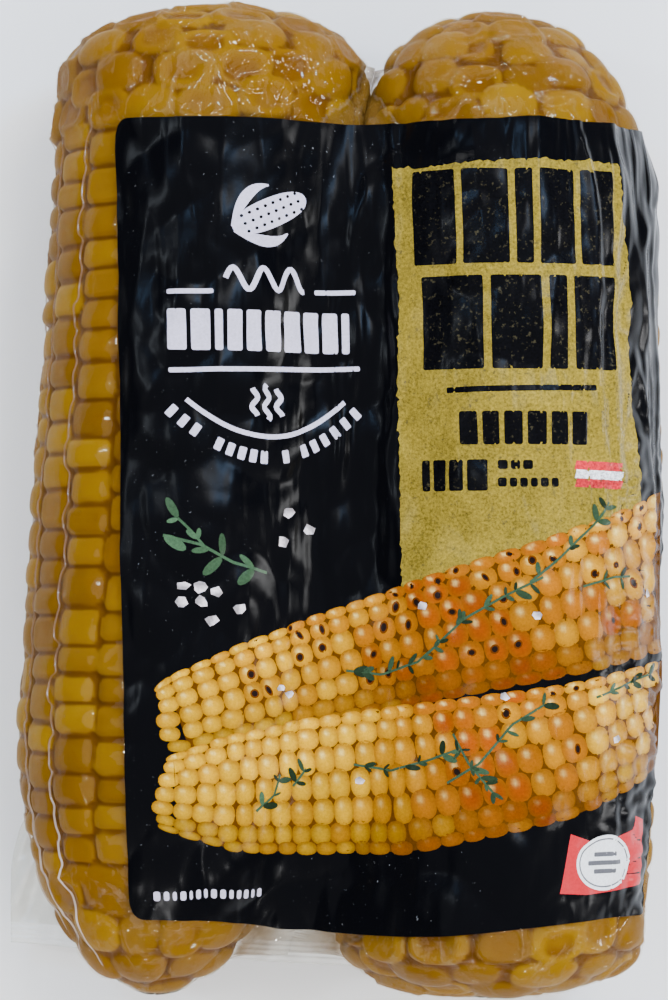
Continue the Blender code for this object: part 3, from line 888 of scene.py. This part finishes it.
def stepped(outline, step=0.7, rough=0.0, seed=0):
    """An outline with points at even steps along its sides, moved a little at random where it is rough."""
    rng = np.random.default_rng(seed)
    points = []
    for start, end in zip(outline, outline[1:] + outline[:1]):
        count = max(1, round(math.dist(start, end) / step))
        for i in range(count):
            nudge = rng.normal(0, rough, 2) if rough and i else np.zeros(2)
            points.append((start[0] + (end[0] - start[0]) * i / count + nudge[0],
                           start[1] + (end[1] - start[1]) * i / count + nudge[1]))
    return points


def block(u, y, wide, high, round_off=0.35, turn=0.0):
    """A block with round corners, centred at (u, y)."""
    points = []
    for corner, (a, b) in enumerate(((1, 1), (-1, 1), (-1, -1), (1, -1))):
        for step in range(4):
            angle = math.pi / 2 * (corner + step / 3)
            points.append((a * (wide / 2 - round_off) + round_off * math.cos(angle),
                           b * (high / 2 - round_off) + round_off * math.sin(angle)))
    across, up = math.cos(turn), math.sin(turn)
    points = [(u + a * across - b * up, y + a * up + b * across) for a, b in points]
    return stepped(points, 0.7)


def stroke(path, thick):
    """The outline of a line of even thickness along a path."""
    path = np.asarray(path, dtype=float)
    way = np.gradient(path, axis=0)
    way /= np.linalg.norm(way, axis=1, keepdims=True)
    side = np.stack([-way[:, 1], way[:, 0]], axis=1) * thick / 2
    return np.vstack([path + side, (path - side)[::-1]])


def oval(u, y, wide, high, turn=0.0, count=18, power=2.0):
    angles = np.arange(count) * 2 * math.pi / count
    a = wide / 2 * np.sign(np.cos(angles)) * np.abs(np.cos(angles)) ** (2 / power)
    b = high / 2 * np.sign(np.sin(angles)) * np.abs(np.sin(angles)) ** (2 / power)
    return np.stack([u + a * math.cos(turn) - b * math.sin(turn),
                     y + a * math.sin(turn) + b * math.cos(turn)], axis=1)


def block_row(layer, start, low, high, widths, gap, colour, level):
    for wide in widths:
        layer.fill(block(start + wide / 2, (low + high) / 2, wide, high - low), colour, level)
        start += wide + gap


def printed_ink(name, worn, grain):
    """Ink on the label's film. worn is how far the chalky wear shows, and grain how uneven the colour is."""
    finish = Finish(name)
    ink = finish.add("ShaderNodeAttribute", attribute_name="ink").outputs["Color"]
    speckle = finish.noise(2400.0, 3.0, 0.7)
    cloud = finish.noise(160.0, 3.0, 0.6)
    shade = finish.math("MULTIPLY_ADD", speckle, grain, 1 - grain / 2)
    shade = finish.math("MULTIPLY_ADD", cloud, grain * 0.4, finish.math("SUBTRACT", shade, grain * 0.2))
    shade = finish.math("MAXIMUM", shade, 0.12)
    even = finish.add("ShaderNodeCombineColor", {0: shade, 1: shade, 2: shade}).outputs[0]
    ink = finish.blend(1.0, ink, even, "MULTIPLY")
    chips = finish.ramp(finish.noise(1100.0, 2.0, 0.8), (0.60, grey(0)), (0.70, grey(1)))
    ink = finish.blend(finish.math("MULTIPLY", chips, worn), ink, (0.062, 0.052, 0.026, 1))
    normal = finish.bump(finish.noise(260.0, 3.0, 0.6), 0.00008, 0.5)
    shader = finish.add("ShaderNodeBsdfPrincipled", {
        "Base Color": ink, "Roughness": finish.math("MULTIPLY_ADD", cloud, 0.08, 0.20),
        "Specular IOR Level": label_gloss(finish), "Normal": normal})
    return finish.surface(shader.outputs[0])


panel = InkLayer()
panel.fill(stepped([(45.4, 51.1), (50.0, 50.6), (66.0, 51.6), (82.3, 51.5), (82.9, 43.0), (84.2, 42.0),
                    (84.5, 30.6), (84.2, 20.0), (85.4, 4.2), (85.8, -3.0), (64.0, -10.0), (45.9, -17.0),
                    (45.6, 10.0), (46.0, 30.0)], 0.55, 0.13, 3), GOLD, 0)
block_row(panel, 49.0, 35.5, 50.1, (7.0, 7.0, 2.6, 5.6, 5.6), 1.05, BLACK_INK, 1)
block_row(panel, 50.1, 19.3, 33.7, (9.8, 7.6, 2.8, 7.0), 1.2, BLACK_INK, 1)
panel.fill(block(65.6, 16.3, 23.3, 0.9, 0.2, 0.02), BLACK_INK, 1)
block_row(panel, 56.0, 7.7, 12.8, (2.7, 2.5, 2.7, 2.9, 2.6, 2.5), 0.75, BLACK_INK, 1)
block_row(panel, 49.5, 0.6, 5.4, (1.3, 2.2, 2.2, 3.1), 0.6, BLACK_INK, 1)
block_row(panel, 61.6, 3.9, 5.3, (1.5, 1.4, 1.5), 0.45, BLACK_INK, 1)
block_row(panel, 61.6, 1.2, 2.6, (1.3, 1.1, 1.2, 1.0, 1.2, 1.1), 0.45, BLACK_INK, 1)
for level, colour in ((4.6, RED_INK), (3.25, WHITE_INK), (1.9, RED_INK)):
    bar = [(73.4, level - 0.65), (81.2, level - 0.95), (81.6, level + 0.4), (73.8, level + 0.7)]
    panel.fill(stepped(bar), colour, 1)
panel.piece("label_panel", printed_ink("panel_ink", 0.6, 2.6))

emblem = InkLayer()
lean = 0.42
along, over = np.array((math.cos(lean), math.sin(lean))), np.array((-math.sin(lean), math.cos(lean)))
emblem.fill(oval(24.0, 43.4, 13.0, 4.6, lean, 40, 2.2), PALE_INK, 0)
for i in range(8):
    for j in (-1, 0, 1):
        dot = np.array((24.0, 43.4)) + along * (1.35 * i - 4.4) + over * 1.3 * j
        emblem.fill(oval(dot[0], dot[1], 0.55, 0.5, lean, 10), BLACK_INK, 1)
for side in (-1, 1):
    sweep = np.linspace(0, 1, 16)
    bend = side * (0.4 + 3.9 * np.sin(sweep * 2.0))
    spine = np.array((18.6, 41.0)) + np.outer(sweep * 8.0 - 0.6, along) + np.outer(bend, over)
    width = 0.25 + 1.5 * np.sin(sweep * math.pi)
    way = np.gradient(spine, axis=0)
    across = np.stack([-way[:, 1], way[:, 0]], axis=1) / np.linalg.norm(way, axis=1, keepdims=True)
    edge = across * width[:, None] / 2
    emblem.fill(np.vstack([spine + edge, (spine - edge)[::-1]]), PALE_INK, 2)
wave_u = np.linspace(16.8, 29.8, 44)
wave = np.stack([wave_u, 33.2 + 1.7 * np.sin((wave_u - 16.8) * 1.35)], axis=1)
emblem.fill(stroke(wave, 0.85), PALE_INK, 0)
emblem.fill(block(11.4, 31.1, 7.0, 0.75, 0.25, 0.02), PALE_INK, 0)
emblem.fill(block(35.1, 31.6, 7.0, 0.75, 0.25, 0.02), PALE_INK, 0)
block_row(emblem, 7.9, 22.1, 28.4, (2.8, 2.9, 1.2, 2.3, 2.3, 2.6, 2.9, 2.6, 2.5, 1.3), 0.68, PALE_INK, 0)
emblem.fill(block(23.5, 19.4, 31.2, 0.75, 0.25, 0.025), PALE_INK, 0)
for middle, high in ((20.9, 4.2), (23.0, 5.4), (25.1, 4.2)):
    rise = np.linspace(-high / 2, high / 2, 16)
    heat = np.stack([middle + 0.45 * np.sin(rise * 2.2), 14.3 + rise], axis=1)
    emblem.fill(stroke(heat, 0.85), PALE_INK, 0)
bow = np.linspace(-1, 1, 40)
emblem.fill(stroke(np.stack([23.4 + 13.0 * bow, 9.0 + 5.6 * bow**2], axis=1), 0.75), PALE_INK, 0)
for i in range(18):
    if i in (3, 9, 11):
        continue
    place = -1 + 2 * i / 17
    emblem.fill(block(23.2 + 15.0 * place, 5.8 + 7.0 * place**2, 1.15, 2.0, 0.2,
                      math.atan(14.0 * place / 15.0)), PALE_INK, 0)
block_row(emblem, 3.8, -61.9, -60.4, (1.0, 0.8, 0.6, 0.9, 0.5, 0.8, 0.6, 0.9, 0.9, 0.7, 0.8, 0.9, 0.6, 0.8),
          0.52, PALE_INK, 0)
emblem.piece("label_emblem", printed_ink("emblem_ink", 0.08, 0.6))


# ---- Printed corn, herbs and badge -----------------------------------------------------------------
# The picture on the label: two grilled cobs drawn kernel by kernel, with char marks, thyme sprigs and
# salt crystals, more thyme and salt on the black, and a small plain badge at the lower right.

Picture = namedtuple("Picture", "stations middles halves pitch roast_from roast_to seed")
UPPER = Picture((5.0, 7.5, 12, 20, 32, 48, 70, 94, 101),
                (-34.6, -34.2, -32.6, -30.2, -26.8, -22.8, -17.3, -11.0, -9.4),
                (5.2, 6.2, 7.0, 8.0, 8.7, 9.6, 11.0, 12.8, 13.2), 3.45, 32, 84, 31)
LOWER = Picture((4.2, 6.5, 10, 16, 28, 45, 70, 92, 101),
                (-45.6, -45.6, -45.6, -45.5, -45.0, -43.8, -39.4, -33.4, -31.0),
                (4.9, 5.9, 7.3, 9.2, 10.8, 11.8, 10.6, 8.4, 7.8), 3.35, 44, 76, 32)
PICTURE_ROWS = 16
KERNEL_YELLOW = np.array((0.64, 0.340, 0.0))
KERNEL_CREAM = np.array((0.72, 0.42, 0.06))
KERNEL_ORANGE = np.array((0.30, 0.052, 0.0))
KERNEL_RIM = np.array((0.22, 0.070, 0.0))
KERNEL_SHINE = np.array((1.0, 0.80, 0.25))
GAP_BROWN = (0.080, 0.026, 0.0)
CHAR = (0.010, 0.005, 0.004)
LEAF_GREEN = (0.012, 0.024, 0.010)
LEAF_PALE = (0.060, 0.125, 0.062)
SALT = (0.62, 0.55, 0.56)


def picture_place(cob, u, across):
    """Where a point at u along a printed cob and a share across it lies on the label."""
    slope = (np.interp(u + 1, cob.stations, cob.middles) - np.interp(u - 1, cob.stations, cob.middles)) / 2
    lean = math.atan(slope)
    off = np.interp(u, cob.stations, cob.halves) * across
    return u - off * math.sin(lean), np.interp(u, cob.stations, cob.middles) + off * math.cos(lean), lean


def kernel_shade(middle, half_long, half_wide, lean, body, light):
    """A printed kernel's colours: its body, a darker rim and a soft shine towards its upper left."""
    def shade(places):
        off = places - middle
        a = (off[:, 0] * math.cos(lean) + off[:, 1] * math.sin(lean)) / half_long
        b = (-off[:, 0] * math.sin(lean) + off[:, 1] * math.cos(lean)) / half_wide
        rim = np.clip(np.hypot(a, b + 0.12), 0, 1)[:, None] ** 2.2
        shine = np.exp(-((a + 0.2) ** 2 + (b - 0.35) ** 2) / 0.05)[:, None]
        colour = body * (1 - rim * 0.75) + KERNEL_RIM * rim * 0.75
        return np.clip((colour + (KERNEL_SHINE - colour) * shine * 0.6 * light) * (0.40 + 0.6 * light), 0, 1)
    return shade


def print_cob(layer, cob, level):
    """Prints one cob and returns the places and sizes of the kernels that can be charred."""
    rng = np.random.default_rng(cob.seed)
    along = np.arange(cob.stations[0] + 3.2, 96.0, 1.0)
    upper, lower = ([picture_place(cob, u, side)[:2] for u in along] for side in (0.93, -0.93))
    base = [(min(u, label_right_edge(y) - 0.3), y) for u, y in upper + lower[::-1]]
    layer.fill(base, GAP_BROWN, level)
    grilled = []
    for row in range(-3, 4):
        turn = row * 2 * math.pi / PICTURE_ROWS
        u = cob.stations[0] + 0.8 + 0.35 * abs(row) + rng.uniform(0, 0.6) * cob.pitch
        while u < 99.0:
            pitch = cob.pitch * (0.9 + 0.0028 * u) * rng.uniform(0.9, 1.1)
            half = float(np.interp(u, cob.stations, cob.halves))
            across = math.sin(turn) * 0.955
            at_u, at_y, _ = picture_place(cob, u, across)
            behind, ahead = picture_place(cob, u - 0.8, across), picture_place(cob, u + 0.8, across)
            lean = math.atan2(ahead[1] - behind[1], ahead[0] - behind[0])
            wide = max(half, 5.0) * math.cos(turn * 0.96) * math.pi / PICTURE_ROWS * rng.uniform(1.04, 1.14)
            long = pitch * 0.5 * rng.uniform(1.02, 1.10)
            if half > 2.6 + 0.9 * abs(row) and at_u + long < label_right_edge(at_y) - 0.1:
                reach = (u - (cob.roast_from + cob.roast_to) / 2) / (cob.roast_to - cob.roast_from) * 2
                roast = 1.2 * math.exp(-0.8 * reach**2) * (0.85 + 0.15 * math.sin(u * 0.35 + row * 0.9))
                below = min(max(-across - 0.25, 0), 1) * min(max((u - 15) / 25, 0), 1)
                roasted = roast * (1.0 if row > -2 else 0.6) + 0.6 * below + rng.normal(-0.05, 0.14)
                share = min(max(roasted, 0), 1)
                pale = min(max((u - 70) / 22, 0), 1) * 0.7
                body = KERNEL_YELLOW * (1 - pale) + KERNEL_CREAM * pale
                body = (body * (1 - share) + KERNEL_ORANGE * share) * rng.uniform(0.85, 1.12)
                light = max(0.18, 0.78 + 0.42 * across - 0.25 * (across < -0.5)) * rng.uniform(0.9, 1.1)
                light = min(1.1, light)
                shape = oval(at_u, at_y, long * 2, wide * 2, lean, 16, 2.5)
                layer.fill(shape, kernel_shade(np.array((at_u, at_y)), long, wide, lean, body, light),
                           level + 1 + 0.9 * rng.random())
                if share > 0.30 and row > -2:
                    grilled.append((at_u, at_y, wide, lean))
            u += pitch
    return grilled


def char_kernels(layer, grilled, share, seed, level):
    rng = np.random.default_rng(seed)
    for u, y, wide, lean in grilled:
        if rng.random() < share:
            long, high = rng.uniform(0.6, 1.2), rng.uniform(0.8, 1.6) * min(1, wide / 1.4)
            u, y, turn = u + rng.normal(0, 0.3), y + rng.normal(0, 0.3), lean + rng.normal(0, 0.4)
            layer.fill(oval(u, y, long * 1.35, high * 1.3, turn, 11), (0.10, 0.024, 0.001), level)
            layer.fill(oval(u, y, long * 0.85, high * 0.85, turn, 9), CHAR, level + 1)


def sprig(layer, path, leaves, size, level, seed, tint=1.0, pale=0.3):
    """A thyme sprig: a thin stem along a path with pairs of small leaves."""
    rng = np.random.default_rng(seed)
    path = np.asarray(path, dtype=float)
    length = np.concatenate([[0], np.cumsum(np.hypot(*np.diff(path, axis=0).T))])
    fine = np.linspace(0, length[-1], max(6, int(length[-1] / 0.6)))
    stem = np.stack([np.interp(fine, length, path[:, 0]), np.interp(fine, length, path[:, 1])], axis=1)
    layer.fill(stroke(stem, 0.28 + 0.05 * size), np.array(LEAF_PALE) * 0.7 * tint, level)
    for i in range(leaves):
        place = length[-1] * np.clip((i + 0.7 + rng.normal(0, 0.25)) / leaves, 0, 1)
        u, y = np.interp(place, length, path[:, 0]), np.interp(place, length, path[:, 1])
        ahead = [np.interp(place + 0.3, length, path[:, axis]) for axis in (0, 1)]
        way = math.atan2(ahead[1] - y, (ahead[0] - u) or 1e-6)
        for side in (-1, 1):
            if rng.random() < 0.08:
                continue
            turn = way + side * rng.uniform(0.2, 1.3)
            long = size * rng.uniform(0.7, 1.55)
            share = np.clip(rng.normal(pale, 0.25), 0, 1)
            colour = (np.array(LEAF_GREEN) * (1 - share) + np.array(LEAF_PALE) * share) * tint
            layer.fill(oval(u + math.cos(turn) * long * 0.55, y + math.sin(turn) * long * 0.55, long,
                            long * rng.uniform(0.30, 0.46), turn, 12), colour, level + 1 + (side > 0))


def crystals(layer, places, size, level, seed, tint=1.0):
    rng = np.random.default_rng(seed)
    for u, y in places:
        sides = int(rng.integers(5, 8))
        angles = (np.arange(sides) + rng.uniform(-0.25, 0.25, sides)) * 2 * math.pi / sides
        reach = size / 2 * rng.uniform(0.75, 1.2, sides)
        facing = rng.uniform(0, 2 * math.pi)

        def facets(spots, u=u, y=y, facing=facing):
            along = (spots[:, 0] - u) * math.cos(facing) + (spots[:, 1] - y) * math.sin(facing)
            return np.array(SALT) * tint * (0.8 + 0.35 * np.sign(along) * (np.abs(along) > 0.15))[:, None]
        outline = np.stack([u + reach * np.cos(angles), y + 0.8 * reach * np.sin(angles)], axis=1)
        layer.fill(stepped([tuple(p) for p in outline], 0.5), facets, level)


picture = InkLayer()
char_kernels(picture, print_cob(picture, UPPER, 1), 0.34, 41, 3)
char_kernels(picture, print_cob(picture, LOWER, 4), 0.08, 42, 6)
picture.piece("label_corn_picture", printed_ink("picture_ink", 0.04, 0.8))

garnish = InkLayer()
sprig(garnish, [(22.6, -11.9), (17.0, -10.3), (12.0, -7.6), (6.5, -6.2)], 4, 3.3, 0, 51, 1.0, 0.7)
sprig(garnish, [(12.6, -7.9), (10.6, -5.4), (8.8, -3.6)], 2, 2.3, 0, 52, 1.0, 0.6)
crystals(garnish, [(26.4, -2.6), (25.3, -7.0), (30.2, -5.2), (11.9, -14.1), (14.3, -14.9), (12.0, -16.3),
                   (8.9, -16.4), (9.3, -13.9), (13.7, -19.2), (17.8, -17.4)], 2.2, 0, 53)
for path, leaves, seed in (([(36.0, -27.0), (42.0, -27.6), (48.5, -25.6), (52.0, -22.8)], 7, 54),
                           ([(50.0, -24.5), (56.0, -19.0), (62.0, -15.6), (68.0, -12.6)], 7, 55),
                           ([(66.0, -13.4), (71.0, -9.4), (76.5, -4.5), (79.0, -1.0)], 5, 56),
                           ([(74.5, -14.0), (80.0, -12.5), (83.5, -12.4)], 2, 57),
                           ([(37.0, -41.5), (43.5, -42.4), (50.0, -40.6), (55.0, -38.8)], 6, 58),
                           ([(54.0, -36.5), (56.5, -41.0), (60.5, -46.0)], 6, 59),
                           ([(53.0, -44.0), (58.0, -41.0), (63.0, -35.0), (68.0, -32.0)], 6, 60),
                           ([(20.5, -48.5), (23.5, -46.0), (24.5, -42.8)], 3, 61),
                           ([(26.8, -44.6), (29.0, -42.0)], 2, 62),
                           ([(76.5, -31.0), (82.0, -29.2), (87.5, -27.6)], 4, 63)):
    sprig(garnish, path, leaves, 1.7, 8, seed, 0.8, 0.15)
crystals(garnish, [(24.6, -29.5), (26.2, -30.6), (49.4, -17.0), (62.0, -30.8), (38.0, -44.0), (80.5, -37.5),
                   (67.0, -18.4), (88.0, -15.0)], 1.6, 10, 64, 1.05)
garnish.piece("label_garnish", printed_ink("garnish_ink", 0.03, 1.2))

badge = InkLayer()
badge.fill(stepped([(70.2, -60.8), (72.0, -51.8), (75.4, -53.0), (80.0, -52.8), (84.2, -51.6), (85.4, -49.6),
                    (87.4, -50.2), (86.6, -60.2), (81.0, -60.8), (75.0, -61.2)], 0.7), RED_INK, 0)
badge.fill(oval(78.4, -56.4, 10.8, 8.6, 0.0, 36), WHITE_INK, 1)
badge.fill(stroke(oval(78.4, -56.4, 9.6, 7.4, 0.0, 37)[:36], 0.22), (0.12, 0.12, 0.13), 2)
for offset, wide in ((1.3, 4.2), (0.0, 6.4), (-1.3, 4.2)):
    badge.fill(block(78.4, -56.4 + offset, wide, 0.7, 0.2), (0.10, 0.10, 0.11), 2)
badge.piece("label_badge", printed_ink("badge_ink", 0.05, 0.5))


# ---- Floor, light and camera -----------------------------------------------------------------------
# A pale floor under the pack and a broad soft light overhead. Small windows at the sides, two of them
# cool, give the label its sheen, and small lamps beyond both ends of the pack give the film its sparkle.

floor = mesh_object("floor", [(-3000, -3000, 0), (3000, -3000, 0), (3000, 3000, 0), (-3000, 3000, 0)],
                    [(0, 1, 2, 3)])
plain = Finish("pale_floor")
tint = plain.blend(plain.noise(3.0), (0.90, 0.90, 0.90, 1), (0.92, 0.92, 0.92, 1))
floor.data.materials.append(plain.surface(
    plain.add("ShaderNodeBsdfPrincipled", {"Base Color": tint, "Roughness": 0.9}).outputs[0]))


def soft_light(name, place, aim, wide, long, power, colour=(1, 1, 1)):
    data = bpy.data.lights.new(name, "AREA")
    data.shape = "RECTANGLE"
    data.size, data.size_y = wide, long
    data.energy = power
    data.color = colour
    light = bpy.data.objects.new(name, data)
    light.location = place
    light.rotation_euler = (Vector(aim) - Vector(place)).to_track_quat("-Z", "Y").to_euler()
    bpy.context.scene.collection.objects.link(light)


soft_light("overhead", (0.10, -0.12, 1.60), (0, 0, 0), 3.0, 3.0, 45.0, (0.99, 0.99, 1.0))
soft_light("key", (0.46, 0.50, 1.35), (0, 0, 0.03), 0.30, 0.30, 8.0)
soft_light("left_window", (-0.42, 0.12, 0.72), (0, 0, 0.03), 0.05, 0.06, 1.2, (0.80, 0.90, 1.0))
soft_light("cool_window", (-0.28, 0.34, 0.80), (0, 0.03, 0.03), 0.07, 0.06, 1.6, (0.30, 0.56, 1.0))
soft_light("cool_side", (0.42, 0.30, 0.80), (0, 0, 0.03), 0.12, 0.18, 5.0, (0.36, 0.60, 1.0))
soft_light("right_window", (0.85, 0.0, 0.30), (0, 0, 0.03), 0.10, 0.30, 3.0)
for place in ((-0.42, 0.62, 0.50), (-0.12, 0.66, 0.46), (0.18, 0.66, 0.50), (0.46, 0.56, 0.52),
              (-0.26, 0.80, 0.24), (0.30, 0.80, 0.26)):
    soft_light("top_lamp", place, (0, 0, 0.03), 0.060, 0.034, 0.8)
for place in ((-0.30, -0.62, 0.50), (0.04, -0.74, 0.40), (0.34, -0.60, 0.52), (0.64, -0.30, 0.50)):
    soft_light("foot_lamp", place, (0, 0, 0.03), 0.060, 0.034, 1.1)

world = bpy.data.worlds.new("studio")
world.use_nodes = True
world.node_tree.nodes["Background"].inputs["Color"].default_value = (1, 1, 1, 1)
world.node_tree.nodes["Background"].inputs["Strength"].default_value = 0.28
bpy.context.scene.world = world

CAMERA_FAR = 0.48
FRAME_HIGH = 0.1605
camera_data = bpy.data.cameras.new("camera")
camera_data.sensor_fit = "VERTICAL"
camera_data.sensor_height = 24.0
camera_data.lens = 24.0 * CAMERA_FAR / FRAME_HIGH
camera_data.clip_start = 0.05
camera = bpy.data.objects.new("camera", camera_data)
look_at = Vector((-0.0005, 0.0, 0.026))
tilt = math.radians(88)
camera.location = look_at + CAMERA_FAR * Vector((0, -math.cos(tilt), math.sin(tilt)))
camera.rotation_euler = (look_at - camera.location).to_track_quat("-Z", "Y").to_euler()
bpy.context.scene.collection.objects.link(camera)
bpy.context.scene.camera = camera
